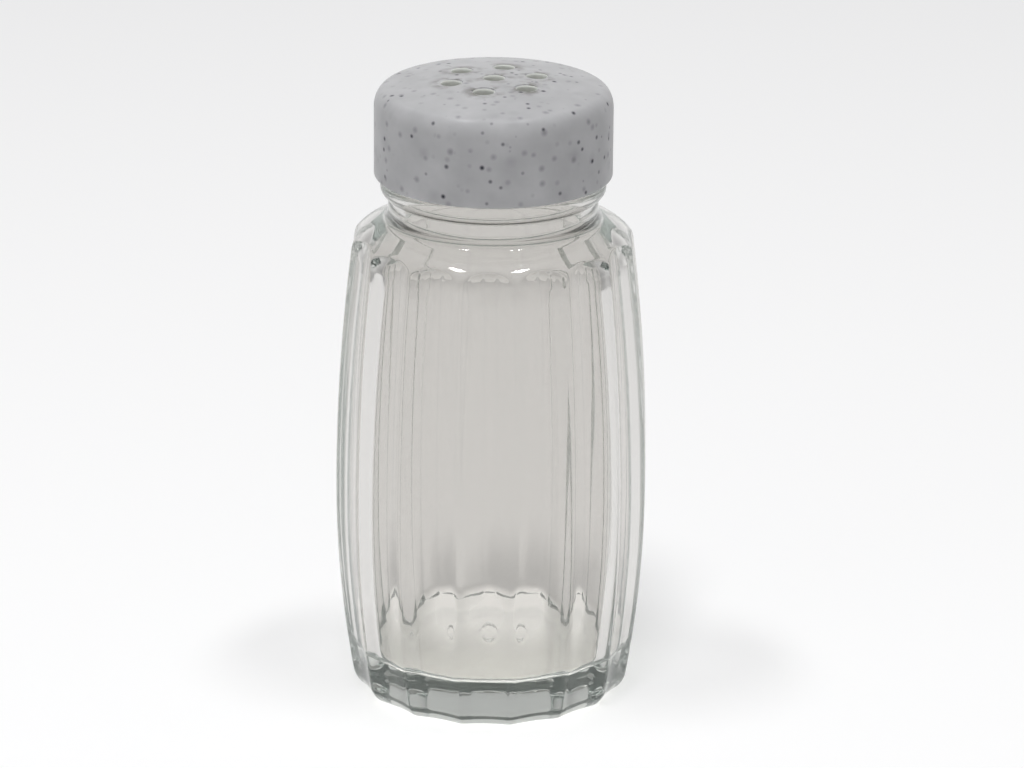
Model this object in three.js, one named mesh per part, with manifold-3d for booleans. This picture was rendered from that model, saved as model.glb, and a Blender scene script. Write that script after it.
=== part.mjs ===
// Fluted glass spice jar with a screw-on shaker cap and its sealing ring.
// Millimetres, +Z up. The origin is the centre of the flat base, on the surface that the jar stands on.
// The jar and the cap carry a real right-hand thread: the cap turns one pitch per turn up or down.

import * as THREE from 'three';
import { mergeVertices } from 'three/addons/utils/BufferGeometryUtils.js';
import Module from 'manifold-3d';

// Barrel of the jar, measured over the ridges between the flutes
const BELLY_RADIUS = 26;
const BELLY_HEIGHT = 36;
const FOOT_RADIUS = 22.5;
const BROW_RADIUS = 23.3;
const BROW_HEIGHT = 78;
const HEEL_ROUNDING = 4.2;
const FLUTE_COUNT = 16;
const FLUTE_DEPTH_AT_BASE = 0.8;
const FLUTE_DEPTH_AT_BROW = 1.25;

// Shoulder, neck and the glass bead under the cap
const SHOULDER_START_DROP = 1.5;
const SHOULDER_BULGE_RISE = 1.2;
const SHOULDER_RISE = 3.8;
const NECK_STEP = 0.95;
const NECK_LENGTH = 3.6;
const BEAD_REACH = 1.25;
const BEAD_THICKNESS = 3;

// Finish: the glass that the cap screws onto
const FINISH_RADIUS = 16.2;
const FINISH_LENGTH = 11.8;
const FINISH_WALL = 1.8;
const LIP_ROUNDING = 0.8;

// Glass thickness
const WALL_THICKNESS = 2.9;
const FLOOR_THICKNESS = 8.2;
const FLOOR_ROUNDING = 1.6;
const SHOULDER_THICKNESS = 3.2;

// Thread shared by the finish and the cap
const THREAD_PITCH = 4.2;
const THREAD_TURNS = 1.25;
const THREAD_BASE_WIDTH = 1.9;
const THREAD_CREST_WIDTH = 0.9;
const THREAD_REACH = 1.15;
const THREAD_BELOW_LIP = 1.9;
const THREAD_FLANK_GAP = 0.2;
const THREAD_CREST_GAP = 0.6;
const THREAD_FADE_SHARE = 0.1;

// Sealing ring on the lip
const SEAL_THICKNESS = 1.2;
const SEAL_OVERHANG = 0.2;
const SEAL_SIDE_GAP = 0.25;
const SEAT_GAP = 0.15;

// Cap
const CAP_WALL = 1.45;
const CAP_TOP_THICKNESS = 1.6;
const CAP_RIM_REACH = 2.25;
const CAP_RIM_RISE = 3.25;
const CAP_DOME_LEAN = THREE.MathUtils.degToRad(10.5);
const CAP_BEAD_GAP = 0.3;
const CAP_EDGE_ROUNDING = 0.4;
const HOLE_RADIUS = 1.6;
const HOLE_RING_RADIUS = 7.2;
const HOLE_RING_COUNT = 6;
const HOLE_RING_TURN = THREE.MathUtils.degToRad(-11.25);

// Mesh fineness
const COLUMNS_PER_FLUTE = 6;
const ROUND_COLUMNS = 48;
const CAP_COLUMNS = 60;
const THREAD_COLUMNS = 40;
const HOLE_COLUMNS = 16;
const CURVE_STEPS = 2;
const BARREL_STEPS = 6;
const SHOULDER_STEPS = 6;

// Cutters and joined ridges run past or into their neighbour by this much
const OVERRUN = 0.4;

const QUARTER_TURN = Math.PI / 2;
const FULL_TURN = 2 * Math.PI;

// Heights that follow from the sizes above, from the base up
const shoulderStart = BROW_HEIGHT - SHOULDER_START_DROP;
const shoulderTop = BROW_HEIGHT + SHOULDER_RISE;
const beadHeight = shoulderTop + NECK_LENGTH + BEAD_THICKNESS / 2;
const beadTop = beadHeight + BEAD_THICKNESS / 2;
const lipHeight = beadTop + FINISH_LENGTH;
const sealBottom = lipHeight + SEAT_GAP;
const sealTop = sealBottom + SEAL_THICKNESS;
const capCeiling = sealTop + SEAT_GAP;
const capBottom = beadTop + CAP_BEAD_GAP;
const capRimTop = capCeiling + CAP_TOP_THICKNESS;

// Radii that follow from the finish
const boreRadius = FINISH_RADIUS - FINISH_WALL;
const neckRadius = FINISH_RADIUS + NECK_STEP;
const capInnerRadius = FINISH_RADIUS + THREAD_REACH + THREAD_CREST_GAP;
const capRadius = capInnerRadius + CAP_WALL;
const sealInnerRadius = boreRadius + SEAL_OVERHANG;
const sealOuterRadius = capInnerRadius - SEAL_SIDE_GAP;

// Top of the cap: an elliptical rim that runs smoothly into a shallow spherical dome
const rimCentre = capRadius - CAP_RIM_REACH;
const rimStart = capRimTop - CAP_RIM_RISE;
const rimEnd = Math.atan(CAP_RIM_RISE / (CAP_RIM_REACH * Math.tan(CAP_DOME_LEAN)));
const domeRadius = (rimCentre + CAP_RIM_REACH * Math.cos(rimEnd)) / Math.sin(CAP_DOME_LEAN);
const domeCentre = rimStart + CAP_RIM_RISE * Math.sin(rimEnd) - domeRadius * Math.cos(CAP_DOME_LEAN);
const domeTop = domeCentre + domeRadius;

const wasm = await Module();
wasm.setup();

// Radius over the ridges: one parabola below the belly and one above it
function barrelRadius(height) {
  const low = height < BELLY_HEIGHT;
  const end = low ? FOOT_RADIUS : BROW_RADIUS;
  const span = low ? BELLY_HEIGHT : BROW_HEIGHT - BELLY_HEIGHT;
  const share = (height - BELLY_HEIGHT) / span;
  return BELLY_RADIUS - (BELLY_RADIUS - end) * share * share;
}

// How far the wall leans outward below the belly, as an angle from upright
function barrelLean(height) {
  return Math.atan(2 * (BELLY_RADIUS - FOOT_RADIUS) * (BELLY_HEIGHT - height) / BELLY_HEIGHT ** 2);
}

// Depth of the concave flutes at an angle round the jar, nothing on a ridge, more towards the top
function fluteDepth(angle, height) {
  const deepening = FLUTE_DEPTH_AT_BROW - FLUTE_DEPTH_AT_BASE;
  const deepest = FLUTE_DEPTH_AT_BASE + deepening * height / BROW_HEIGHT;
  const flutePitch = FULL_TURN / FLUTE_COUNT;
  const fromCentre = angle / flutePitch - Math.round(angle / flutePitch);
  const share = 2 * fromCentre;
  return deepest * (1 - share * share);
}

// The flutes run over the heel, and die out where the shoulder drops below their bottoms
function flutedRadius(radius, height, angle) {
  const groove = fluteDepth(angle, height);
  if (height < shoulderStart) {
    return Math.max(0, radius - groove);
  }
  return Math.min(radius, barrelRadius(height) - groove);
}

// Turns an outline of radii and heights round the Z axis, and keeps only merged positions
function turned(outline, columns) {
  const geometry = new THREE.LatheGeometry(outline, columns);
  geometry.rotateX(QUARTER_TURN);
  return closed(geometry);
}

// Merges the vertices that a geometry class leaves apart
function closed(geometry) {
  geometry.deleteAttribute('normal');
  geometry.deleteAttribute('uv');
  return mergeVertices(geometry);
}

function toSolid(geometry) {
  const index = Array.from(geometry.index.array);
  const triangles = [];
  for (let i = 0; i < index.length; i += 3) {
    const [a, b, c] = index.slice(i, i + 3);
    if (a !== b && b !== c && c !== a) {
      triangles.push(a, b, c);
    }
  }
  return new wasm.Manifold(new wasm.Mesh({
    numProp: 3,
    vertProperties: new Float32Array(geometry.attributes.position.array),
    triVerts: new Uint32Array(triangles),
  }));
}

function toGeometry(solid) {
  const mesh = solid.getMesh();
  const geometry = new THREE.BufferGeometry();
  geometry.setAttribute('position', new THREE.BufferAttribute(mesh.vertProperties, 3));
  geometry.setIndex(new THREE.BufferAttribute(mesh.triVerts, 1));
  return geometry;
}

function named(name, geometry, material) {
  const mesh = new THREE.Mesh(geometry, material);
  mesh.name = name;
  return mesh;
}

// Outside of the body: flat base, heel, barrel and shoulder, up to just inside the neck
function bodyOutline() {
  const lean = barrelLean(HEEL_ROUNDING);
  const heelEnd = HEEL_ROUNDING * (1 - Math.sin(lean));
  const flatRadius = barrelRadius(heelEnd) - HEEL_ROUNDING * Math.cos(lean);

  const heel = new THREE.Path();
  heel.moveTo(0, 0);
  heel.lineTo(flatRadius, 0);
  heel.absarc(flatRadius, HEEL_ROUNDING, HEEL_ROUNDING, -QUARTER_TURN, -lean, false);
  const points = heel.getPoints(CURVE_STEPS);

  for (let step = 1; step <= BARREL_STEPS; step += 1) {
    const height = heelEnd + (shoulderStart - heelEnd) * step / BARREL_STEPS;
    points.push(new THREE.Vector2(barrelRadius(height), height));
  }

  const shoulder = new THREE.QuadraticBezierCurve(
    new THREE.Vector2(barrelRadius(shoulderStart), shoulderStart),
    new THREE.Vector2(BROW_RADIUS, BROW_HEIGHT + SHOULDER_BULGE_RISE),
    new THREE.Vector2(neckRadius - OVERRUN, shoulderTop),
  );
  points.push(...shoulder.getPoints(SHOULDER_STEPS).slice(1));
  points.push(new THREE.Vector2(0, shoulderTop));
  return points;
}

// Outside of the neck, with the bead, the finish and its rounded lip
function neckOutline() {
  const finish = new THREE.Path();
  finish.moveTo(0, shoulderTop - SHOULDER_THICKNESS);
  finish.lineTo(neckRadius, shoulderTop - SHOULDER_THICKNESS);
  finish.absellipse(neckRadius, beadHeight, BEAD_REACH, BEAD_THICKNESS / 2,
    -QUARTER_TURN, QUARTER_TURN, false);
  finish.lineTo(FINISH_RADIUS, beadTop);
  finish.lineTo(FINISH_RADIUS, lipHeight - LIP_ROUNDING);
  finish.absarc(FINISH_RADIUS - LIP_ROUNDING, lipHeight - LIP_ROUNDING, LIP_ROUNDING,
    0, QUARTER_TURN, false);
  finish.lineTo(0, lipHeight);
  return finish.getPoints(CURVE_STEPS);
}

// Inside of the jar: floor with a rounded corner, wall, inner shoulder and bore, past the lip
function cavityOutline() {
  const cornerRadius = barrelRadius(FLOOR_THICKNESS) - WALL_THICKNESS;
  const wallTop = BROW_HEIGHT - SHOULDER_THICKNESS;
  const floor = new THREE.Path();
  floor.moveTo(0, FLOOR_THICKNESS);
  floor.lineTo(cornerRadius - FLOOR_ROUNDING, FLOOR_THICKNESS);
  floor.absarc(cornerRadius - FLOOR_ROUNDING, FLOOR_THICKNESS + FLOOR_ROUNDING, FLOOR_ROUNDING,
    -QUARTER_TURN, 0, false);
  const points = floor.getPoints(CURVE_STEPS);

  const wallBottom = FLOOR_THICKNESS + FLOOR_ROUNDING;
  for (let step = 1; step <= BARREL_STEPS; step += 1) {
    const height = wallBottom + (wallTop - wallBottom) * step / BARREL_STEPS;
    points.push(new THREE.Vector2(barrelRadius(height) - WALL_THICKNESS, height));
  }

  const bulgeRadius = BROW_RADIUS - WALL_THICKNESS;
  const bulgeHeight = BROW_HEIGHT + SHOULDER_BULGE_RISE - SHOULDER_THICKNESS / 2;
  const innerShoulder = new THREE.QuadraticBezierCurve(
    new THREE.Vector2(barrelRadius(wallTop) - WALL_THICKNESS, wallTop),
    new THREE.Vector2(bulgeRadius, bulgeHeight),
    new THREE.Vector2(boreRadius, shoulderTop),
  );
  points.push(...innerShoulder.getPoints(CURVE_STEPS).slice(1));
  points.push(new THREE.Vector2(boreRadius, lipHeight + OVERRUN));
  points.push(new THREE.Vector2(0, lipHeight + OVERRUN));
  return points;
}

// A right-hand thread ridge that stands on a round wall and fades into it at both ends.
// Outward is 1 for a ridge outside the wall and -1 for one inside it.
function threadRidge(wallRadius, outward, startHeight) {
  const steps = Math.round(THREAD_COLUMNS * THREAD_TURNS);
  const rootRadius = wallRadius - outward * OVERRUN;
  const halfBase = THREAD_BASE_WIDTH / 2;
  const halfCrest = THREAD_CREST_WIDTH / 2;
  const offsets = [-halfBase, -halfCrest, halfCrest, halfBase];
  const positions = [];
  for (let step = 0; step <= steps; step += 1) {
    const share = step / steps;
    const fade = Math.min(1, share / THREAD_FADE_SHARE, (1 - share) / THREAD_FADE_SHARE);
    const reach = THREAD_REACH * fade - OVERRUN / 2 * (1 - fade);
    const crestRadius = wallRadius + outward * reach;
    const angle = FULL_TURN * THREAD_TURNS * share;
    const height = startHeight + THREAD_PITCH * THREAD_TURNS * share;
    for (const offset of offsets) {
      const radius = Math.abs(offset) > halfCrest ? rootRadius : crestRadius;
      positions.push(radius * Math.cos(angle), radius * Math.sin(angle), height + offset);
    }
  }

  const corners = offsets.length;
  const end = steps * corners;
  const faces = [];
  for (let corner = 1; corner + 1 < corners; corner += 1) {
    faces.push([0, corner, corner + 1]);
    faces.push([end, end + corner + 1, end + corner]);
  }
  for (let step = 0; step < steps; step += 1) {
    for (let corner = 0; corner < corners; corner += 1) {
      const next = (corner + 1) % corners;
      const a = step * corners + corner;
      const b = step * corners + next;
      faces.push([a, a + corners, b], [b, a + corners, b + corners]);
    }
  }
  const facing = outward > 0 ? faces : faces.map(([a, b, c]) => [a, c, b]);
  const geometry = new THREE.BufferGeometry();
  geometry.setAttribute('position', new THREE.Float32BufferAttribute(positions, 3));
  geometry.setIndex(facing.flat());
  return geometry;
}

// Height where the thread of the finish starts; it ends a named distance below the lip
const finishThreadStart = lipHeight - THREAD_BELOW_LIP - THREAD_PITCH * THREAD_TURNS;

// The cap's ridge pulls up against the under side of the ridge on the glass
const ridgeOverlapWidth = (THREAD_BASE_WIDTH + THREAD_CREST_WIDTH) / 2;
const capThreadStart = finishThreadStart - ridgeOverlapWidth - THREAD_FLANK_GAP;

function makeJar() {
  const outside = turned(bodyOutline(), FLUTE_COUNT * COLUMNS_PER_FLUTE);
  const position = outside.attributes.position;
  for (let i = 0; i < position.count; i += 1) {
    const x = position.getX(i);
    const y = position.getY(i);
    const height = position.getZ(i);
    const radius = Math.hypot(x, y);
    if (radius > 0) {
      const scale = flutedRadius(radius, height, Math.atan2(y, x)) / radius;
      position.setXY(i, x * scale, y * scale);
    }
  }
  const glass = toSolid(outside)
    .add(toSolid(turned(neckOutline(), ROUND_COLUMNS)))
    .subtract(toSolid(turned(cavityOutline(), ROUND_COLUMNS)))
    .add(toSolid(threadRidge(FINISH_RADIUS, 1, finishThreadStart)));
  return toGeometry(glass);
}

// Section of the cap: the under side of the dome, then down the inside and up the outside
function capOutline() {
  const underRadius = sealInnerRadius / Math.sin(CAP_DOME_LEAN);
  const underCentre = capCeiling - underRadius * Math.cos(CAP_DOME_LEAN);
  const domeLow = QUARTER_TURN - CAP_DOME_LEAN;

  const outline = new THREE.Path();
  outline.moveTo(0, underCentre + underRadius);
  outline.absarc(0, underCentre, underRadius, QUARTER_TURN, domeLow, true);
  outline.lineTo(capInnerRadius, capCeiling);
  outline.lineTo(capInnerRadius, capBottom);
  outline.lineTo(capRadius - CAP_EDGE_ROUNDING, capBottom);
  outline.absarc(capRadius - CAP_EDGE_ROUNDING, capBottom + CAP_EDGE_ROUNDING, CAP_EDGE_ROUNDING,
    -QUARTER_TURN, 0, false);
  outline.absellipse(rimCentre, rimStart, CAP_RIM_REACH, CAP_RIM_RISE, 0, rimEnd, false);
  outline.absarc(0, domeCentre, domeRadius, domeLow, QUARTER_TURN, false);
  return outline.getPoints(CURVE_STEPS);
}

// One shaker hole, a plain bore through the top, at a place seen from above
function holeCutter(x, y) {
  const length = domeTop - capCeiling + 2 * OVERRUN;
  const geometry = new THREE.CylinderGeometry(HOLE_RADIUS, HOLE_RADIUS, length, HOLE_COLUMNS);
  geometry.rotateX(QUARTER_TURN);
  geometry.translate(x, y, capCeiling - OVERRUN + length / 2);
  return toSolid(closed(geometry));
}

function makeCap() {
  let cap = toSolid(turned(capOutline(), CAP_COLUMNS))
    .add(toSolid(threadRidge(capInnerRadius, -1, capThreadStart)))
    .subtract(holeCutter(0, 0));
  for (let hole = 0; hole < HOLE_RING_COUNT; hole += 1) {
    const angle = HOLE_RING_TURN - QUARTER_TURN + FULL_TURN * hole / HOLE_RING_COUNT;
    cap = cap.subtract(holeCutter(HOLE_RING_RADIUS * Math.cos(angle), HOLE_RING_RADIUS * Math.sin(angle)));
  }
  return toGeometry(cap);
}

// A flat ring between the lip and the ceiling of the cap
function makeSeal() {
  const section = [
    new THREE.Vector2(sealInnerRadius, sealBottom),
    new THREE.Vector2(sealOuterRadius, sealBottom),
    new THREE.Vector2(sealOuterRadius, sealTop),
    new THREE.Vector2(sealInnerRadius, sealTop),
    new THREE.Vector2(sealInnerRadius, sealBottom),
  ];
  return turned(section, ROUND_COLUMNS);
}

const clearGlass = new THREE.MeshStandardMaterial({ color: 0xdfe6e1, roughness: 0.03, metalness: 0 });
const speckledPlastic = new THREE.MeshStandardMaterial({ color: 0xc4c3c9, roughness: 0.35, metalness: 0 });
const whiteRubber = new THREE.MeshStandardMaterial({ color: 0xe8e6e0, roughness: 0.6, metalness: 0 });

const spiceJar = new THREE.Group();
spiceJar.add(
  named('jar', makeJar(), clearGlass),
  named('seal', makeSeal(), whiteRubber),
  named('cap', makeCap(), speckledPlastic),
);

export default spiceJar;
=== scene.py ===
"""Looks of a fluted glass spice jar with a speckled shaker cap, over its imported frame."""

import math

import bmesh
import bpy
from mathutils import Matrix, Vector, noise


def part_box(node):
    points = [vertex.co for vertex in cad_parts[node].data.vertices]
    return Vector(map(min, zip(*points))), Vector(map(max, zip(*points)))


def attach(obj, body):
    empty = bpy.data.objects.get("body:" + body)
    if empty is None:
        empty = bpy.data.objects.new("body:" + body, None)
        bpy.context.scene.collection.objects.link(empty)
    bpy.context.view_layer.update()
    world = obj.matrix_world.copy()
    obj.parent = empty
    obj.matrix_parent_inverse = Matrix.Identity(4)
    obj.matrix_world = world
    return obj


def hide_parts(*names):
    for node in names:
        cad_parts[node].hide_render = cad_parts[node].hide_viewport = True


MM = 0.001
TURN = 2 * math.pi
QUARTER_TURN = TURN / 4
HALF_TURN = TURN / 2
THREE_QUARTERS = TURN * 3 / 4

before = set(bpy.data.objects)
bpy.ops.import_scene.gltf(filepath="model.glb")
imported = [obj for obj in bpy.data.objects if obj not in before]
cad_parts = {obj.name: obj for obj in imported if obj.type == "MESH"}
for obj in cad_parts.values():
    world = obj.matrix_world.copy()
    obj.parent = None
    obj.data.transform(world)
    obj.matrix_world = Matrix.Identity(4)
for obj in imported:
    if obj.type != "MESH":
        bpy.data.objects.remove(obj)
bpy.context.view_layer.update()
jar_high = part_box("jar")[1]
cap_low, cap_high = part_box("cap")
seal_low, seal_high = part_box("seal")

# Barrel, measured over the ridges between the flutes
BELLY_RADIUS = 26 * MM
BELLY_HEIGHT = 36 * MM
FOOT_RADIUS = 22.5 * MM
BROW_RADIUS = 23.3 * MM
BROW_HEIGHT = 78 * MM
HEEL_ROUNDING = 4.2 * MM
FLUTE_COUNT = 16
FLUTE_DEPTH_AT_BASE = 0.8 * MM
FLUTE_DEPTH_AT_BROW = 1.25 * MM
RIDGE_SOFT_SHARE = 0.1
FLUTE_TOP_BLEND = 0.3 * MM

# Shoulder, neck, bead and finish. The shoulder ends on the neck's fillet, out and down by these shares of it.
SHOULDER_START = 76.5 * MM
SHOULDER_BULGE = (23.3 * MM, 79.2 * MM)
SHOULDER_TOP = 81.8 * MM
SHOULDER_END_OUT_SHARE = 0.6
SHOULDER_END_DOWN_SHARE = 0.4
NECK_RADIUS = 17.15 * MM
NECK_FILLET = 1.8 * MM
NECK_LENGTH = 3.6 * MM
NECK_TOP_GAP = 0.3 * MM
BEAD_RADIUS = 18.4 * MM
BEAD_THICKNESS = 3 * MM
BEAD_STEP_WIDTH = 0.3 * MM
BEAD_STEP_RISE = 0.05 * MM
FINISH_RADIUS = 16.2 * MM
FINISH_START_GAP = 0.4 * MM
BORE_RADIUS = 14.4 * MM
BORE_BOTTOM_RISE = 1.2 * MM
LIP_ROUNDING = 0.8 * MM
LIP_HEIGHT = jar_high[2]

# Glass thickness, and the unevenness of pressed glass
WALL = 2.9 * MM
SHOULDER_WALL = 3.2 * MM
INNER_SHOULDER_RISE = 0.6 * MM
FLOOR = 8.2 * MM
FLOOR_ROUNDING = 1.6 * MM
FLOOR_DOME = 0.3 * MM
FLOOR_MARK_RADIUS = 3.6 * MM
FLOOR_MARK_WIDTH = 0.8 * MM
FLOOR_MARK_DEPTH = 0.16 * MM
FLUTE_ECHO_SHARE = -0.1
WAVE_HEIGHT = 0.3 * MM
WAVES_ROUND = 7
WAVES_PER_METRE = 9

# Thread, the same on the glass and inside the cap
THREAD_PITCH = 4.2 * MM
THREAD_TURNS = 1.25
THREAD_BASE = 1.9 * MM
THREAD_CREST = 0.9 * MM
THREAD_REACH = 1.15 * MM
THREAD_BELOW_LIP = 1.9 * MM
THREAD_FLANK_GAP = 0.2 * MM
THREAD_FADE_SHARE = 0.1
FINISH_THREAD_START = LIP_HEIGHT - THREAD_BELOW_LIP - THREAD_PITCH * THREAD_TURNS
CAP_THREAD_START = FINISH_THREAD_START - (THREAD_BASE + THREAD_CREST) / 2 - THREAD_FLANK_GAP

# Sealing ring
SEAT_GAP = 0.15 * MM
SEAL_OVERHANG = 0.2 * MM
SEAL_INNER = BORE_RADIUS + SEAL_OVERHANG
SEAL_ROUNDING = 0.25 * MM

# Cap
CAP_RADIUS = cap_high[0]
CAP_BOTTOM = cap_low[2]
CAP_INNER = 17.95 * MM
CAP_CEILING = seal_high[2] + SEAT_GAP
CAP_TOP = 1.6 * MM
CAP_EDGE = 0.4 * MM
CAP_INNER_ROUNDING = 0.3 * MM
CAP_THREAD_TOP_GAP = 0.5 * MM
CAP_THREAD_BOTTOM_GAP = 0.4 * MM
CAP_SMOOTH_ANGLE = math.radians(35)
RIM_REACH = 2.25 * MM
RIM_RISE = 3.25 * MM
DOME_LEAN = math.radians(10.5)

# Shaker holes, and how far their cutter reaches below and above the dome
HOLE_RADIUS = 1.6 * MM
HOLE_RIM = 0.35 * MM
HOLE_RIM_DROP = 1.2 * HOLE_RIM
HOLE_RIM_FLARE = 1.3 * HOLE_RIM
HOLE_RIM_ANGLES = (0.4, 0.8, 1.2, 1.5)
HOLE_RING = 7.2 * MM
HOLE_COUNT = 6
HOLE_TURN = math.radians(-11.25)
HOLE_CUT_BELOW = 6 * MM
HOLE_CUT_ABOVE = 2 * MM

# Mesh fineness: columns round each piece, and steps along each stretch of its profile
COLUMNS_PER_FLUTE = 20
CAP_COLUMNS = 192
SEAL_COLUMNS = 128
HOLE_COLUMNS = 48
BASE_SHARES = (0.3, 0.6, 0.85, 0.95, 0.985)
HEEL_STEPS = 14
BARREL_STEPS = 40
SHOULDER_STEPS = 26
NECK_FILLET_STEPS = 5
NECK_STEPS = 2
BEAD_STEPS = 12
FINISH_STEPS = 40
LIP_STEPS = 6
LIP_INNER_STEPS = 4
BORE_STEPS = 4
INNER_SHOULDER_STEPS = 18
INNER_WALL_STEPS = 30
FLOOR_CORNER_STEPS = 12
FLOOR_STEPS = 60
CEILING_STEPS = 12
CAP_THREAD_STEPS = 36
CAP_MOUTH_STEPS = 4
CAP_EDGE_STEPS = 5
CAP_SIDE_STEPS = 8
RIM_STEPS = 16
DOME_STEPS = 20
SEAL_EDGE_STEPS = 4

# A soft edge is halfway at the line that it belongs to
EDGE_MIDDLE = 0.5

# Plastic: colours, clouds, and layers of specks as (cells per metre, smallest and largest radius,
# width of the soft edge, strength)
PLASTIC_DEEP = (0.31, 0.31, 0.317)
PLASTIC_PALE = (0.48, 0.48, 0.488)
CLOUDS_PER_METRE = 170
CLOUD_DETAIL = 3
SPECK_COLOUR = (0.01, 0.01, 0.024)
SPECK_SHIFT = 0.037
SPECK_LAYERS = (
    (330, 0.26 * MM, 0.38 * MM, 0.34 * MM, 0.95),
    (340, 0.12 * MM, 0.28 * MM, 0.34 * MM, 0.7),
    (400, 0.20 * MM, 0.50 * MM, 0.60 * MM, 0.38),
    (220, 0.50 * MM, 1.10 * MM, 1.20 * MM, 0.14),
)

# Smudges round the shaker holes
SMUDGES_PER_METRE = 380
SMUDGE_DETAIL = 4
SMUDGE_THRESHOLD = 0.45
SMUDGE_CONTRAST = 6
SMUDGE_SHARE = 0.8
SMUDGE_REACH = 2.2 * MM
SMUDGE_COLOUR = (0.11, 0.105, 0.085)

# Painted light: the walls of the holes and the inside of the cap get a plain colour, paler than the plastic,
# for the light that shines through the thin translucent plastic. The inside is two zones about the axis, each
# a radius
# and a height: within the wall up to the ceiling, and within the finish a little higher, because the under
# side of the top is domed.
HOLE_PAINTED_LIGHT = (0.52, 0.53, 0.5)
INSIDE_PAINTED_LIGHT = (0.85, 0.85, 0.83)
CEILING_SEAM = 0.05 * MM
DOME_ZONE_SHARE = 0.9
INSIDE_ZONES = (
    (CAP_INNER + CAP_EDGE / 2, CAP_CEILING + CEILING_SEAM),
    (FINISH_RADIUS, CAP_CEILING + DOME_ZONE_SHARE * CAP_TOP),
)

# Finishes, and bumps as (cells per metre, detail, strength, height)
PLASTIC_FINISH = {
    "Roughness": 0.5,
    "IOR": 1.45,
    "Specular IOR Level": 0.25,
    "Coat Weight": 0.3,
    "Coat Roughness": 0.2,
    "Subsurface Weight": 0.7,
    "Subsurface Radius": (1.0, 1.0, 1.0),
    "Subsurface Scale": 2 * MM,
}
PLASTIC_BUMP = (900, 3, 0.06, 0.05 * MM)
GLASS_FINISH = {
    "Base Color": (0.785, 0.77, 0.75, 1),
    "Transmission Weight": 1.0,
    "Roughness": 0.0,
    "IOR": 1.5,
}
GLASS_BUMP = (60, 2, 0.12, 0.2 * MM)
GLASS_SHADOW_COLOUR = (0.96, 0.96, 0.95, 1)
GLASS_DEPTH_COLOUR = (0.1, 0.25, 0.2, 1)
GLASS_DEPTH_DENSITY = 8
RUBBER_DEEP = (0.74, 0.73, 0.70)
RUBBER_PALE = (0.82, 0.81, 0.78)
RUBBER_CLOUDS_PER_METRE = 300
RUBBER_FINISH = {"Roughness": 0.6}

# Light turns many times inside thick glass, and goes black where it is cut off too soon
GLASS_BOUNCES = 32

# Camera, as the photograph was taken
CAMERA_TARGET = Vector((0, 0, 50 * MM))
CAMERA_DISTANCE = 930 * MM
CAMERA_AZIMUTH = math.radians(1.9)
CAMERA_ELEVATION = math.radians(19.5)
CAMERA_ROLL = math.radians(0.42)
CAMERA_LENS = 198.7
CAMERA_SENSOR = 36.0
CAMERA_NEAR = 0.01
CAMERA_FAR = 50.0
PHOTO_WIDTH = 1024
PHOTO_HEIGHT = 768
TARGET_PIXEL_X = 492.1
TARGET_PIXEL_Y = 398.2

# Floor, with the brighter pool under the base
FLOOR_REACH = 1.2
FLOOR_SEGMENTS = 96
FLOOR_GAP = 0.15 * MM
FLOOR_TONE = 0.96
FLOOR_COLOUR = (FLOOR_TONE, FLOOR_TONE, FLOOR_TONE, 1)
FLOOR_FINISH = {"Base Color": FLOOR_COLOUR, "Roughness": 0.9, "Specular IOR Level": 0.0}
FLOOR_GLOW_SHARE = 0.3
POOL_CENTRE = (0.0, 16 * MM, 0.0)
POOL_RADIUS = 14 * MM
POOL_EDGE = 12 * MM
POOL_STRENGTH = 1.45

# Room: its light, its tones as (rise, tone) from the horizon up, and where it turns darker
ROOM = (0.2, 0.2, 0.207)
ROOM_STOPS = ((0.0, 0.95), (0.12, 0.9), (0.35, 0.7), (0.7, 0.65), (1.0, 0.8))
ROOM_DARK = (0.0, 0.0, 0.0)
ROOM_FRONT_START = 0.1
ROOM_FRONT_END = 0.5
ROOM_FRONT_SHARE = 0.3
ROOM_SIDE_START = 0.5
ROOM_SIDE_END = 0.9
ROOM_SIDE_SHARE = 0.5

# Lamps, from the middle of the cap's top
SOFTBOX_PLACE = (-0.08, -0.5, 1.17)
SOFTBOX_SIZE = 0.26
SOFTBOX_POWER = 9
LAMP_LEFT_WAY = (-0.29, -0.09, 0.95)
LAMP_RIGHT_WAY = (0.24, -0.11, 0.96)
LAMP_DISTANCE = 1.5
LAMP_WIDTH = 0.3
LAMP_DEPTH = 0.13
LAMP_POWER = 5
SIDE_PLACE = (-0.85, -0.95, 0.4)
SIDE_SIZE = 0.6
SIDE_POWER = 0.7


# Profile of the glass

def barrel_radius(z):
    """Radius over the ridges: one parabola below the belly and one above it."""
    end, span = FOOT_RADIUS, BELLY_HEIGHT
    if z >= BELLY_HEIGHT:
        end, span = BROW_RADIUS, BROW_HEIGHT - BELLY_HEIGHT
    return BELLY_RADIUS - (BELLY_RADIUS - end) * ((z - BELLY_HEIGHT) / span) ** 2


def flute_depth(angle, z):
    """Concave between the ridges, with each ridge slightly rounded, and deeper towards the top."""
    deepest = FLUTE_DEPTH_AT_BASE + (FLUTE_DEPTH_AT_BROW - FLUTE_DEPTH_AT_BASE) * z / BROW_HEIGHT
    pitch = TURN / FLUTE_COUNT
    share = abs(2 * (angle / pitch - round(angle / pitch)))
    soft = 1 - RIDGE_SOFT_SHARE
    if share > soft:
        slope = 2 * soft
        over = (share - soft) / RIDGE_SOFT_SHARE
        fall = soft * soft + slope * RIDGE_SOFT_SHARE * (over - over * over / 2)
    else:
        fall = share * share
    return deepest * (1 - fall)


def fluted(radius, z, angle):
    """The flutes die out softly where the shoulder drops below their bottoms."""
    groove = flute_depth(angle, z)
    if z < SHOULDER_START - FLUTE_TOP_BLEND:
        return max(0.0, radius - groove)
    full = soft_min(radius, barrel_radius(z) - groove, FLUTE_TOP_BLEND)
    if z < SHOULDER_START:
        share = 1 - (SHOULDER_START - z) / FLUTE_TOP_BLEND
        return radius - groove + (full - radius + groove) * share
    return full


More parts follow.
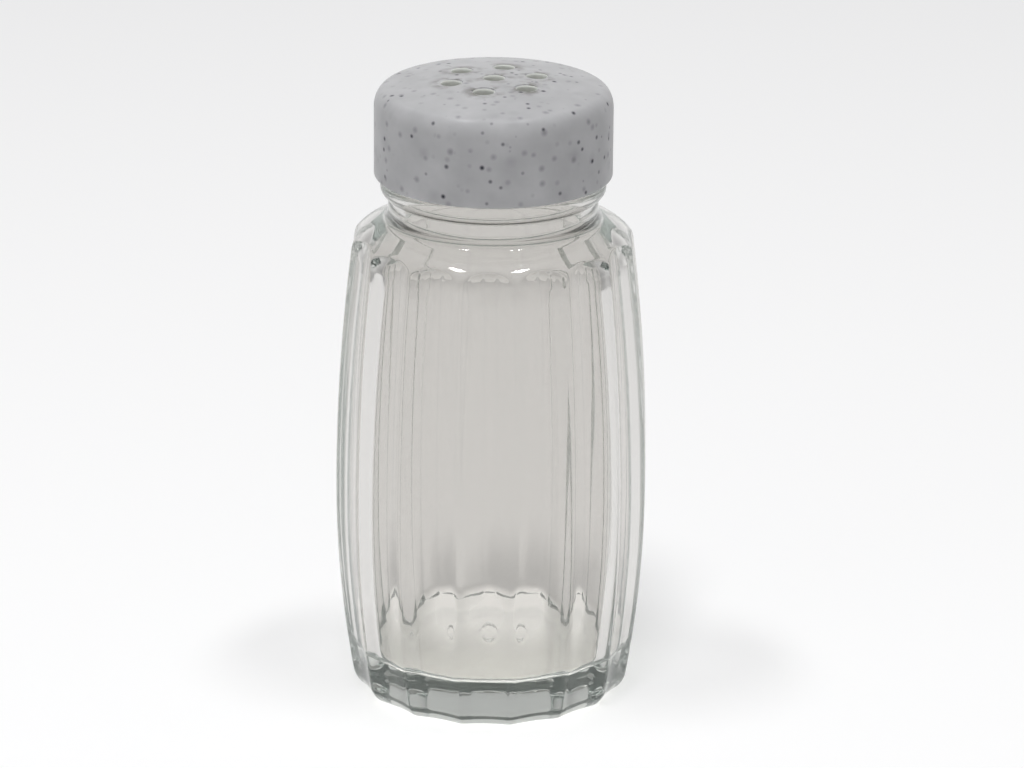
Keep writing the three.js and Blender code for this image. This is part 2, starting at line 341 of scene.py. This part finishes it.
def soft_min(a, b, blend):
    """The smaller of two radii, with the crease between them rounded."""
    share = max(blend - abs(a - b), 0.0) / blend
    return min(a, b) - share * share * blend / 4


def inner_radius(z, angle):
    """The inside wall echoes the flutes faintly and wanders, in long streaks up the wall."""
    even = barrel_radius(z) - WALL - FLUTE_ECHO_SHARE * flute_depth(angle, z)
    place = (math.cos(angle) * WAVES_ROUND, math.sin(angle) * WAVES_ROUND, z * WAVES_PER_METRE)
    return even + WAVE_HEIGHT * noise.noise(Vector(place))


def floor_height(radius, edge):
    """A faintly domed floor with a round moulding mark at its middle."""
    off = (radius - FLOOR_MARK_RADIUS) / FLOOR_MARK_WIDTH
    return FLOOR + FLOOR_DOME * (1 - (radius / edge) ** 2) - FLOOR_MARK_DEPTH * math.exp(-off * off)


def thread_reach(angle, z, start):
    """How far the thread stands out of its wall at a point, with its flanks eased."""
    turn = (angle % TURN) / TURN
    best = 0.0
    for lap in range(-1, math.ceil(THREAD_TURNS) + 1):
        along = (turn + lap) / THREAD_TURNS
        if 0 <= along <= 1:
            middle = start + THREAD_PITCH * (turn + lap)
            fade = min(1, along / THREAD_FADE_SHARE, (1 - along) / THREAD_FADE_SHARE)
            off = abs(z - middle)
            flank = (THREAD_BASE / 2 - off) / (THREAD_BASE / 2 - THREAD_CREST / 2)
            best = max(best, min(1, max(0, flank)) * fade)
    return THREAD_REACH * best * best * (3 - 2 * best)


# Curves of a profile, as points of radius and height

def arc(cx, cz, rx, rz, start, end, steps):
    points = []
    for i in range(steps + 1):
        angle = start + (end - start) * i / steps
        points.append((cx + rx * math.cos(angle), cz + rz * math.sin(angle)))
    return points


def round_arc(cx, cz, radius, start, end, steps):
    return arc(cx, cz, radius, radius, start, end, steps)


def bezier(a, b, c, steps):
    """Leaves out the first point, a."""
    points = []
    for i in range(1, steps + 1):
        t = i / steps
        points.append(tuple((1 - t) ** 2 * a[k] + 2 * t * (1 - t) * b[k] + t * t * c[k] for k in (0, 1)))
    return points


def straight(a, b, steps):
    """Leaves out the first point, a."""
    points = []
    for i in range(1, steps + 1):
        points.append(tuple(a[k] + (b[k] - a[k]) * i / steps for k in (0, 1)))
    return points


def even_round(points):
    """Rows of a turned surface that has the same radius all round."""
    return [(lambda angle, r=radius: r, z) for radius, z in points]


def revolve(name, rows, columns, closed_ring=False):
    """A mesh from rows of (radius function of the angle, height); a row with no function is one point."""
    mesh = bpy.data.meshes.new(name)
    bm = bmesh.new()
    rings = []
    for radius_at, height in rows:
        if radius_at is None:
            rings.append([bm.verts.new((0, 0, height))])
            continue
        ring = []
        for i in range(columns):
            angle = TURN * i / columns
            radius = radius_at(angle)
            ring.append(bm.verts.new((radius * math.cos(angle), radius * math.sin(angle), height)))
        rings.append(ring)
    pairs = list(zip(rings, rings[1:]))
    if closed_ring:
        pairs.append((rings[-1], rings[0]))
    for low, high in pairs:
        for i in range(columns):
            j = (i + 1) % columns
            if len(low) == 1:
                bm.faces.new((low[0], high[j], high[i]))
            elif len(high) == 1:
                bm.faces.new((low[i], low[j], high[0]))
            else:
                bm.faces.new((low[i], low[j], high[j], high[i]))
    bmesh.ops.recalc_face_normals(bm, faces=bm.faces)
    bm.to_mesh(mesh)
    bm.free()
    mesh.shade_smooth()
    piece = bpy.data.objects.new(name, mesh)
    bpy.context.scene.collection.objects.link(piece)
    return piece


# The jar

def jar_rows():
    return body_rows() + finish_rows() + cavity_rows()


def body_rows():
    """Outside of the glass, from the middle of the base up to where the shoulder meets the neck."""
    slope = 2 * (BELLY_RADIUS - FOOT_RADIUS) * (BELLY_HEIGHT - HEEL_ROUNDING) / BELLY_HEIGHT ** 2
    lean = math.atan(slope)
    heel_end = HEEL_ROUNDING * (1 - math.sin(lean))
    flat = barrel_radius(heel_end) - HEEL_ROUNDING * math.cos(lean)
    points = [(flat * share, 0.0) for share in BASE_SHARES]
    points += round_arc(flat, HEEL_ROUNDING, HEEL_ROUNDING, -QUARTER_TURN, -lean, HEEL_STEPS)
    for i in range(1, BARREL_STEPS + 1):
        z = heel_end + (SHOULDER_START - heel_end) * i / BARREL_STEPS
        points.append((barrel_radius(z), z))
    shoulder_start = (barrel_radius(SHOULDER_START), SHOULDER_START)
    points += bezier(shoulder_start, SHOULDER_BULGE, shoulder_end(), SHOULDER_STEPS)
    rows = [(None, 0.0)]
    for radius, z in points:
        rows.append((lambda angle, r=radius, h=z: fluted(r, h, angle), z))
    return rows


def shoulder_end():
    return (NECK_RADIUS + NECK_FILLET * SHOULDER_END_OUT_SHARE,
            SHOULDER_TOP - NECK_FILLET * SHOULDER_END_DOWN_SHARE)


def finish_rows():
    """Neck, bead, threaded finish and lip, down to the top of the bore."""
    bead_z = SHOULDER_TOP + NECK_LENGTH + BEAD_THICKNESS / 2
    bead_top = bead_z + BEAD_THICKNESS / 2
    neck_top = bead_z - BEAD_THICKNESS / 2
    neck_bottom = (NECK_RADIUS, SHOULDER_TOP + NECK_FILLET)
    points = bezier(shoulder_end(), (NECK_RADIUS, SHOULDER_TOP), neck_bottom, NECK_FILLET_STEPS)
    points += straight(neck_bottom, (NECK_RADIUS, neck_top - NECK_TOP_GAP), NECK_STEPS)
    points += arc(NECK_RADIUS, bead_z, BEAD_RADIUS - NECK_RADIUS, BEAD_THICKNESS / 2,
                  -QUARTER_TURN, QUARTER_TURN, BEAD_STEPS)
    points.append((FINISH_RADIUS + BEAD_STEP_WIDTH, bead_top + BEAD_STEP_RISE))
    rows = even_round(points)

    low = bead_top + FINISH_START_GAP
    high = LIP_HEIGHT - LIP_ROUNDING
    for i in range(FINISH_STEPS + 1):
        z = low + (high - low) * i / FINISH_STEPS
        rows.append((lambda angle, h=z: FINISH_RADIUS + thread_reach(angle, h, FINISH_THREAD_START), z))

    lip = LIP_ROUNDING
    outer = round_arc(FINISH_RADIUS - lip, LIP_HEIGHT - lip, lip, 0, QUARTER_TURN, LIP_STEPS)
    inner = round_arc(BORE_RADIUS + lip / 2, LIP_HEIGHT - lip / 2, lip / 2,
                      QUARTER_TURN, HALF_TURN, LIP_INNER_STEPS)
    return rows + even_round(outer[1:] + inner)


def cavity_rows():
    """Inside of the glass, from the bore down to the middle of the floor."""
    wall_top = BROW_HEIGHT - SHOULDER_WALL
    wall_bottom = FLOOR + FLOOR_ROUNDING
    corner = barrel_radius(FLOOR) - WALL
    edge = corner - FLOOR_ROUNDING
    bore = straight((BORE_RADIUS, LIP_HEIGHT - LIP_ROUNDING),
                    (BORE_RADIUS, SHOULDER_TOP + BORE_BOTTOM_RISE), BORE_STEPS)
    shoulder = bezier((barrel_radius(wall_top) - WALL, wall_top),
                      (SHOULDER_BULGE[0] - WALL, SHOULDER_BULGE[1] - SHOULDER_WALL / 2),
                      (BORE_RADIUS, SHOULDER_TOP + INNER_SHOULDER_RISE), INNER_SHOULDER_STEPS)
    rows = even_round(bore + shoulder[::-1])

    for i in range(INNER_WALL_STEPS + 1):
        z = wall_top + (wall_bottom - wall_top) * i / INNER_WALL_STEPS
        rows.append((lambda angle, h=z: inner_radius(h, angle), z))

    lower = round_arc(edge, FLOOR + FLOOR_ROUNDING, FLOOR_ROUNDING, 0, -QUARTER_TURN, FLOOR_CORNER_STEPS)[1:]
    for step, (radius, z) in enumerate(lower):
        rows.append((lambda angle, r=radius, s=1 - (step + 1) / len(lower):
                     r + s * (inner_radius(wall_bottom, angle) - corner), z))

    for i in range(1, FLOOR_STEPS):
        radius = edge * (1 - i / FLOOR_STEPS)
        rows += even_round([(radius, floor_height(radius, edge))])
    rows.append((None, floor_height(0.0, edge)))
    return rows


# The cap

def cap_rows():
    """Rows from under the dome, down the inside and up the outside, and the dome's centre and radius."""
    rim_centre = CAP_RADIUS - RIM_REACH
    rim_top = CAP_CEILING + CAP_TOP
    rim_start = rim_top - RIM_RISE
    rim_end = math.atan(RIM_RISE / (RIM_REACH * math.tan(DOME_LEAN)))
    dome_edge = rim_centre + RIM_REACH * math.cos(rim_end)
    dome_start = rim_start + RIM_RISE * math.sin(rim_end)
    dome_radius = dome_edge / math.sin(DOME_LEAN)
    dome_centre = dome_start - dome_radius * math.cos(DOME_LEAN)
    dome_low = QUARTER_TURN - DOME_LEAN
    under_radius = SEAL_INNER / math.sin(DOME_LEAN)
    under_centre = CAP_CEILING - under_radius * math.cos(DOME_LEAN)

    ceiling = round_arc(0, under_centre, under_radius, QUARTER_TURN, dome_low, CEILING_STEPS)[1:]
    ceiling.append((CAP_INNER - CAP_INNER_ROUNDING, CAP_CEILING))
    ceiling.append((CAP_INNER, CAP_CEILING - CAP_INNER_ROUNDING))
    rows = [(None, under_centre + under_radius)] + even_round(ceiling)

    high = CAP_CEILING - CAP_THREAD_TOP_GAP
    low = CAP_BOTTOM + CAP_THREAD_BOTTOM_GAP
    for i in range(CAP_THREAD_STEPS + 1):
        z = high + (low - high) * i / CAP_THREAD_STEPS
        rows.append((lambda angle, h=z: CAP_INNER - thread_reach(angle, h, CAP_THREAD_START), z))

    points = round_arc(CAP_INNER + CAP_INNER_ROUNDING, CAP_BOTTOM + CAP_INNER_ROUNDING, CAP_INNER_ROUNDING,
                       HALF_TURN, THREE_QUARTERS, CAP_MOUTH_STEPS)
    points += round_arc(CAP_RADIUS - CAP_EDGE, CAP_BOTTOM + CAP_EDGE, CAP_EDGE,
                        -QUARTER_TURN, 0, CAP_EDGE_STEPS)
    points += straight((CAP_RADIUS, CAP_BOTTOM + CAP_EDGE), (CAP_RADIUS, rim_start), CAP_SIDE_STEPS)
    points += arc(rim_centre, rim_start, RIM_REACH, RIM_RISE, 0, rim_end, RIM_STEPS)[1:]
    points += round_arc(0, dome_centre, dome_radius, dome_low, QUARTER_TURN, DOME_STEPS)[1:-1]
    rows += even_round(points)
    rows.append((None, dome_centre + dome_radius))
    return rows, dome_centre, dome_radius


def hole_places():
    places = [(0.0, 0.0)]
    for i in range(HOLE_COUNT):
        angle = HOLE_TURN - QUARTER_TURN + TURN * i / HOLE_COUNT
        places.append((HOLE_RING * math.cos(angle), HOLE_RING * math.sin(angle)))
    return places


def hole_cutter(x, y, surface):
    """A bore whose upper edge flares out by a small rounded rim."""
    low = surface - HOLE_CUT_BELOW
    high = surface + HOLE_CUT_ABOVE
    rim_low = surface - HOLE_RIM_DROP
    points = [(HOLE_RADIUS, low), (HOLE_RADIUS, rim_low)]
    for angle in HOLE_RIM_ANGLES:
        points.append((HOLE_RADIUS + HOLE_RIM * (1 - math.cos(angle)), rim_low + HOLE_RIM * math.sin(angle)))
    points.append((HOLE_RADIUS + HOLE_RIM_FLARE, high))
    cutter = revolve("hole_cutter", [(None, low)] + even_round(points) + [(None, high)], HOLE_COLUMNS)
    cutter.location = (x, y, 0)
    return cutter


def cut_holes(cap, dome_centre, dome_radius):
    for x, y in hole_places():
        surface = dome_centre + math.sqrt(dome_radius ** 2 - x * x - y * y)
        cutter = hole_cutter(x, y, surface)
        bpy.context.view_layer.update()
        cut = cap.modifiers.new("hole", "BOOLEAN")
        cut.operation = "DIFFERENCE"
        cut.solver = "EXACT"
        cut.object = cutter
        apply_modifiers(cap)
        bpy.data.objects.remove(cutter)


def apply_modifiers(piece):
    graph = bpy.context.evaluated_depsgraph_get()
    mesh = bpy.data.meshes.new_from_object(piece.evaluated_get(graph), depsgraph=graph)
    piece.modifiers.clear()
    old = piece.data
    piece.data = mesh
    bpy.data.meshes.remove(old)


def make_seal():
    """The ring's four corners, from the outer lower one round to the inner lower one."""
    edge = SEAL_ROUNDING
    outer = seal_high[0] - edge
    inner = SEAL_INNER + edge
    low = seal_low[2] + edge
    high = seal_high[2] - edge
    points = round_arc(outer, low, edge, -QUARTER_TURN, 0, SEAL_EDGE_STEPS)
    points += round_arc(outer, high, edge, 0, QUARTER_TURN, SEAL_EDGE_STEPS)
    points += round_arc(inner, high, edge, QUARTER_TURN, HALF_TURN, SEAL_EDGE_STEPS)
    points += round_arc(inner, low, edge, HALF_TURN, THREE_QUARTERS, SEAL_EDGE_STEPS)
    return revolve("sealing_ring", even_round(points), SEAL_COLUMNS, closed_ring=True)


# Nodes

def new_material(name, finish):
    material = bpy.data.materials.new(name)
    material.use_nodes = True
    tree = material.node_tree
    shader = tree.nodes["Principled BSDF"]
    for socket, value in finish.items():
        shader.inputs[socket].default_value = value
    return material, tree, shader


def link(tree, source, target):
    tree.links.new(source, target)


def math_node(tree, operation, a, b=None, c=None, clamp=False):
    node = tree.nodes.new("ShaderNodeMath")
    node.operation = operation
    node.use_clamp = clamp
    for socket, value in zip(node.inputs, (a, b, c)):
        if value is None:
            continue
        if isinstance(value, (int, float)):
            socket.default_value = value
        else:
            link(tree, value, socket)
    return node.outputs[0]


def vector_node(tree, operation, source, value):
    node = tree.nodes.new("ShaderNodeVectorMath")
    node.operation = operation
    link(tree, source, node.inputs[0])
    node.inputs[1].default_value = value
    return node.outputs["Value" if operation == "DISTANCE" else "Vector"]


def split_vector(tree, source):
    node = tree.nodes.new("ShaderNodeSeparateXYZ")
    link(tree, source, node.inputs[0])
    return node.outputs


def object_coordinates(tree):
    return tree.nodes.new("ShaderNodeTexCoord").outputs["Object"]


def shifted(tree, coordinates, distance):
    """The same coordinates moved along, so that a second layer has its own places."""
    return vector_node(tree, "ADD", coordinates, (distance, distance, distance))


def noise_texture(tree, coordinates, scale, detail=2.0):
    node = tree.nodes.new("ShaderNodeTexNoise")
    node.inputs["Scale"].default_value = scale
    node.inputs["Detail"].default_value = detail
    link(tree, coordinates, node.inputs["Vector"])
    return node.outputs["Fac"]


def add_bump(tree, shader, coordinates, bump):
    per_metre, detail, strength, height = bump
    node = tree.nodes.new("ShaderNodeBump")
    node.inputs["Strength"].default_value = strength
    node.inputs["Distance"].default_value = height
    link(tree, noise_texture(tree, coordinates, per_metre, detail), node.inputs["Height"])
    link(tree, node.outputs["Normal"], shader.inputs["Normal"])


def mix_colour(tree, factor, a, b):
    node = tree.nodes.new("ShaderNodeMix")
    node.data_type = "RGBA"
    link(tree, factor, node.inputs["Factor"])
    for name, value in (("A", a), ("B", b)):
        socket = [s for s in node.inputs if s.name == name and s.type == "RGBA"][0]
        if isinstance(value, tuple):
            socket.default_value = (*value, 1)
        else:
            link(tree, value, socket)
    return [s for s in node.outputs if s.type == "RGBA"][0]


def show_mix(tree, factor, a, b):
    """Shows a mix of two shaders as the surface."""
    mix = tree.nodes.new("ShaderNodeMixShader")
    for socket, source in zip(mix.inputs, (factor, a.outputs[0], b.outputs[0])):
        link(tree, source, socket)
    link(tree, mix.outputs[0], tree.nodes["Material Output"].inputs["Surface"])


def background_rays(tree):
    """1 for what the camera sees, directly, mirrored or through glass, 0 for light that falls on things."""
    path = tree.nodes.new("ShaderNodeLightPath")
    seen = math_node(tree, "MAXIMUM", path.outputs["Is Camera Ray"], path.outputs["Is Glossy Ray"])
    return math_node(tree, "MAXIMUM", seen, path.outputs["Is Transmission Ray"])


# Materials

def speck_mask(tree, coordinates, per_metre, smallest, largest, edge):
    """1 inside specks of random size, one to a cell, 0 outside, with an edge in metres."""
    cells = tree.nodes.new("ShaderNodeTexVoronoi")
    cells.inputs["Scale"].default_value = per_metre
    cells.inputs["Randomness"].default_value = 1.0
    link(tree, coordinates, cells.inputs["Vector"])
    split = tree.nodes.new("ShaderNodeSeparateColor")
    link(tree, cells.outputs["Color"], split.inputs["Color"])
    size = math_node(tree, "MULTIPLY", split.outputs[0], (largest - smallest) * per_metre)
    size = math_node(tree, "ADD", size, smallest * per_metre)
    gap = math_node(tree, "SUBTRACT", size, cells.outputs["Distance"])
    level = math_node(tree, "DIVIDE", gap, edge * per_metre)
    return math_node(tree, "ADD", level, EDGE_MIDDLE, clamp=True)


def hole_gap(tree, place):
    """How far a point is from the edge of the nearest shaker hole, negative inside one."""
    flat = vector_node(tree, "MULTIPLY", place, (1.0, 1.0, 0.0))
    nearest = None
    for x, y in hole_places():
        away = vector_node(tree, "DISTANCE", flat, (x, y, 0.0))
        nearest = away if nearest is None else math_node(tree, "MINIMUM", nearest, away)
    return math_node(tree, "SUBTRACT", nearest, HOLE_RADIUS + HOLE_RIM / 2)


def smudge_mask(tree, place, gap):
    """Patches on the cap's top that fade out with the distance from the holes."""
    smudge = noise_texture(tree, shifted(tree, place, SPECK_SHIFT), SMUDGES_PER_METRE, SMUDGE_DETAIL)
    smudge = math_node(tree, "SUBTRACT", smudge, SMUDGE_THRESHOLD)
    smudge = math_node(tree, "MULTIPLY", smudge, SMUDGE_CONTRAST, clamp=True)
    near = math_node(tree, "DIVIDE", gap, -SMUDGE_REACH)
    near = math_node(tree, "ADD", near, 1.0, clamp=True)
    above = math_node(tree, "GREATER_THAN", split_vector(tree, place)["Z"], CAP_CEILING)
    for share in (near, above, SMUDGE_SHARE):
        smudge = math_node(tree, "MULTIPLY", smudge, share)
    return smudge


def inside_cap(tree, place):
    """1 on the cap's inner wall and ceiling, 0 elsewhere."""
    split = split_vector(tree, place)
    across = math_node(tree, "POWER", split["X"], 2)
    away = math_node(tree, "POWER", split["Y"], 2)
    reach = math_node(tree, "SQRT", math_node(tree, "ADD", across, away))
    inside = []
    for radius, top in INSIDE_ZONES:
        within = math_node(tree, "LESS_THAN", reach, radius)
        below = math_node(tree, "LESS_THAN", split["Z"], top)
        inside.append(math_node(tree, "MULTIPLY", within, below))
    return math_node(tree, "MAXIMUM", *inside)


def speckled_plastic():
    """Pale grey plastic with sharp dark specks at its surface and softer ones below it."""
    material, tree, shader = new_material("cap_plastic", PLASTIC_FINISH)
    place = object_coordinates(tree)
    cloud = noise_texture(tree, place, CLOUDS_PER_METRE, CLOUD_DETAIL)
    base = mix_colour(tree, cloud, PLASTIC_DEEP, PLASTIC_PALE)
    for layer, (per_metre, smallest, largest, edge, share) in enumerate(SPECK_LAYERS):
        there = shifted(tree, place, (layer + 1) * SPECK_SHIFT)
        mask = speck_mask(tree, there, per_metre, smallest, largest, edge)
        base = mix_colour(tree, math_node(tree, "MULTIPLY", mask, share), base, SPECK_COLOUR)
    gap = hole_gap(tree, place)
    base = mix_colour(tree, smudge_mask(tree, place, gap), base, SMUDGE_COLOUR)
    # Painted light: the hole walls get a paler plain colour, for light shining through the thin plastic
    base = mix_colour(tree, math_node(tree, "LESS_THAN", gap, 0.0), base, HOLE_PAINTED_LIGHT)
    # Painted light: the inside of the cap gets a pale plain colour, for light shining through the plastic
    base = mix_colour(tree, inside_cap(tree, place), base, INSIDE_PAINTED_LIGHT)
    link(tree, base, shader.inputs["Base Color"])
    add_bump(tree, shader, place, PLASTIC_BUMP)
    return material


def clear_glass():
    """Glass that grows darker and greener with the depth of glass that the light crosses."""
    material, tree, shader = new_material("jar_glass", GLASS_FINISH)
    add_bump(tree, shader, object_coordinates(tree), GLASS_BUMP)
    clear = tree.nodes.new("ShaderNodeBsdfTransparent")
    clear.inputs["Color"].default_value = GLASS_SHADOW_COLOUR
    path = tree.nodes.new("ShaderNodeLightPath")
    show_mix(tree, path.outputs["Is Shadow Ray"], shader, clear)
    depth = tree.nodes.new("ShaderNodeVolumeAbsorption")
    depth.inputs["Color"].default_value = GLASS_DEPTH_COLOUR
    depth.inputs["Density"].default_value = GLASS_DEPTH_DENSITY
    link(tree, depth.outputs[0], tree.nodes["Material Output"].inputs["Volume"])
    return material


def white_rubber():
    material, tree, shader = new_material("ring_rubber", RUBBER_FINISH)
    cloud = noise_texture(tree, object_coordinates(tree), RUBBER_CLOUDS_PER_METRE)
    link(tree, mix_colour(tree, cloud, RUBBER_DEEP, RUBBER_PALE), shader.inputs["Base Color"])
    return material


def pale_floor():
    """White paper. It keeps the jar's shadow, its own glow makes up the rest to white, and more of it
    stands for the light that the thick base gathers under itself."""
    material, tree, shader = new_material("pale_floor", FLOOR_FINISH)
    away = vector_node(tree, "DISTANCE", object_coordinates(tree), POOL_CENTRE)
    pool = math_node(tree, "SUBTRACT", POOL_RADIUS, away)
    pool = math_node(tree, "DIVIDE", pool, POOL_EDGE)
    pool = math_node(tree, "ADD", pool, EDGE_MIDDLE, clamp=True)
    glow = tree.nodes.new("ShaderNodeEmission")
    glow.inputs["Color"].default_value = FLOOR_COLOUR
    link(tree, math_node(tree, "MULTIPLY_ADD", pool, POOL_STRENGTH - 1, 1.0), glow.inputs["Strength"])
    share = math_node(tree, "MULTIPLY", pool, 1 - FLOOR_GLOW_SHARE)
    share = math_node(tree, "ADD", share, FLOOR_GLOW_SHARE)
    share = math_node(tree, "MULTIPLY", background_rays(tree), share)
    show_mix(tree, share, shader, glow)
    return material


# Stage, light and camera

def make_floor():
    mesh = bpy.data.meshes.new("floor")
    bm = bmesh.new()
    bmesh.ops.create_circle(bm, cap_ends=True, radius=FLOOR_REACH, segments=FLOOR_SEGMENTS)
    bm.to_mesh(mesh)
    bm.free()
    floor = bpy.data.objects.new("floor", mesh)
    floor.location.z = -FLOOR_GAP
    bpy.context.scene.collection.objects.link(floor)
    mesh.materials.append(pale_floor())


def room_shade(tree, direction, start, end, share):
    """0 where a direction points less than start one way, growing to share at end."""
    shade = math_node(tree, "SUBTRACT", direction, start)
    shade = math_node(tree, "DIVIDE", shade, end - start, clamp=True)
    return math_node(tree, "MULTIPLY", shade, share)


def make_world():
    """A plain grey room, palest at the horizon, and darker in front of the jar and at its sides."""
    world = bpy.data.worlds.new("studio")
    bpy.context.scene.world = world
    world.use_nodes = True
    tree = world.node_tree
    split = split_vector(tree, tree.nodes.new("ShaderNodeTexCoord").outputs["Generated"])
    ramp = tree.nodes.new("ShaderNodeValToRGB")
    link(tree, split["Z"], ramp.inputs[0])
    stops = ramp.color_ramp.elements
    while len(stops) < len(ROOM_STOPS):
        stops.new(1.0)
    for stop, (rise, tone) in zip(stops, ROOM_STOPS):
        stop.position = rise
        stop.color = (tone, tone, tone, 1)
    front = math_node(tree, "MULTIPLY", split["Y"], -1)
    front = room_shade(tree, front, ROOM_FRONT_START, ROOM_FRONT_END, ROOM_FRONT_SHARE)
    side = math_node(tree, "ABSOLUTE", split["X"])
    side = room_shade(tree, side, ROOM_SIDE_START, ROOM_SIDE_END, ROOM_SIDE_SHARE)
    shade = math_node(tree, "MAXIMUM", front, side)
    backdrop = mix_colour(tree, shade, ramp.outputs["Color"], ROOM_DARK)
    colour = mix_colour(tree, background_rays(tree), ROOM, backdrop)
    link(tree, colour, tree.nodes["Background"].inputs["Color"])
    tree.nodes["Background"].inputs["Strength"].default_value = 1.0


def area_lamp(name, place, aim, width, height, power, mirrored=True):
    lamp = bpy.data.lights.new(name, "AREA")
    lamp.shape = "RECTANGLE"
    lamp.size = width
    lamp.size_y = height
    lamp.energy = power
    holder = bpy.data.objects.new(name, lamp)
    holder.location = place
    holder.rotation_euler = (aim - place).to_track_quat("-Z", "Y").to_euler()
    holder.visible_glossy = mirrored
    holder.visible_transmission = mirrored
    bpy.context.scene.collection.objects.link(holder)


def make_light():
    make_world()
    top = Vector((0, 0, cap_high[2]))
    area_lamp("overhead", top + Vector(SOFTBOX_PLACE), top, SOFTBOX_SIZE, SOFTBOX_SIZE, SOFTBOX_POWER,
              mirrored=False)
    for name, way in (("lamp_left", LAMP_LEFT_WAY), ("lamp_right", LAMP_RIGHT_WAY)):
        place = top + Vector(way).normalized() * LAMP_DISTANCE
        area_lamp(name, place, top, LAMP_WIDTH, LAMP_DEPTH, LAMP_POWER)
    area_lamp("side", top + Vector(SIDE_PLACE), top, SIDE_SIZE, SIDE_SIZE, SIDE_POWER, mirrored=False)


def make_camera():
    """The target lies off the middle of the photograph, so the camera aims beside it."""
    away = Vector((math.sin(CAMERA_AZIMUTH) * math.cos(CAMERA_ELEVATION),
                   -math.cos(CAMERA_AZIMUTH) * math.cos(CAMERA_ELEVATION),
                   math.sin(CAMERA_ELEVATION)))
    place = CAMERA_TARGET + away * CAMERA_DISTANCE
    right = Vector((math.cos(CAMERA_AZIMUTH), math.sin(CAMERA_AZIMUTH), 0))
    up = away.cross(right)
    data = bpy.data.cameras.new("camera")
    data.sensor_width = CAMERA_SENSOR
    data.lens = CAMERA_LENS
    data.clip_start = CAMERA_NEAR
    data.clip_end = CAMERA_FAR
    per_pixel = CAMERA_DISTANCE * data.sensor_width / data.lens / PHOTO_WIDTH
    aim = (CAMERA_TARGET + right * (PHOTO_WIDTH / 2 - TARGET_PIXEL_X) * per_pixel
           + up * (TARGET_PIXEL_Y - PHOTO_HEIGHT / 2) * per_pixel)
    camera = bpy.data.objects.new("camera", data)
    turn = (aim - place).to_track_quat("-Z", "Y").to_matrix().to_4x4()
    camera.matrix_world = Matrix.Translation(place) @ turn @ Matrix.Rotation(CAMERA_ROLL, 4, "Z")
    bpy.context.scene.collection.objects.link(camera)
    bpy.context.scene.camera = camera


make_camera()
make_light()
make_floor()

glass = clear_glass()
plastic = speckled_plastic()
rubber = white_rubber()

jar = revolve("glass_jar", jar_rows(), FLUTE_COUNT * COLUMNS_PER_FLUTE)
jar.data.materials.append(glass)
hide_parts("jar")
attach(jar, "jar")

rows, dome_centre, dome_radius = cap_rows()
cap = revolve("shaker_cap", rows, CAP_COLUMNS)
cut_holes(cap, dome_centre, dome_radius)
cap.data.shade_smooth()
cap.data.set_sharp_from_angle(angle=CAP_SMOOTH_ANGLE)
cap.data.materials.clear()
cap.data.materials.append(plastic)
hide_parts("cap")
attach(cap, "cap")

ring = make_seal()
ring.data.materials.append(rubber)
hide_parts("seal")
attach(ring, "seal")

for name, material in (("jar", glass), ("cap", plastic), ("seal", rubber)):
    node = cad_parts[name]
    node.data.materials.clear()
    node.data.materials.append(material)

bpy.context.scene.view_settings.view_transform = "Standard"
renderer = bpy.context.scene.cycles
renderer.max_bounces = GLASS_BOUNCES
renderer.transmission_bounces = GLASS_BOUNCES
renderer.glossy_bounces = GLASS_BOUNCES
